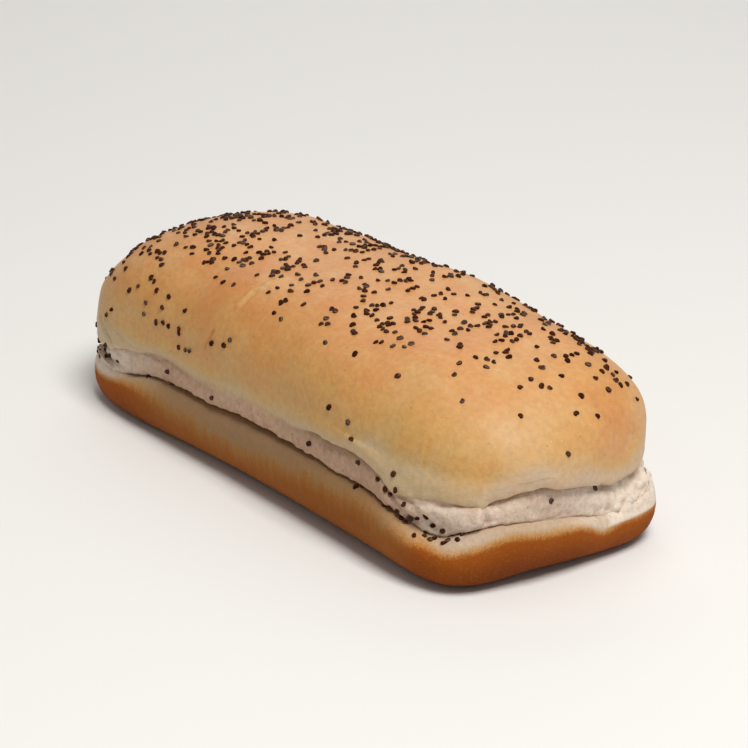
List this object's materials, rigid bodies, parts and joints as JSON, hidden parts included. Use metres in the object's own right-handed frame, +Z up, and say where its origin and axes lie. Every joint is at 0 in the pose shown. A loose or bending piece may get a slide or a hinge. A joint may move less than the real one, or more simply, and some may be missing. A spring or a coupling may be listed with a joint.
{
  "type": "poppy seed hot dog bun",
  "caption": "Long soft roll for a sausage, with a pan-moulded base, a pale break round it and a domed golden crust strewn with dark seeds.",
  "frame": {"origin": "centre of the bun's box, on the plane that it rests on", "axes": "+X along the bun towards the end that shows in the picture, +Z up, -Y towards the long side that shows"},
  "size_m": [0.152, 0.0632, 0.0451],
  "materials": {
    "crust": "satin baked crust, golden on top, pale at the break",
    "seeds": "dull brown-black seed coat, greyer on some seeds"
  },
  "bodies": {
    "root": {"bun": "crust"}
  },
  "joints": []
}
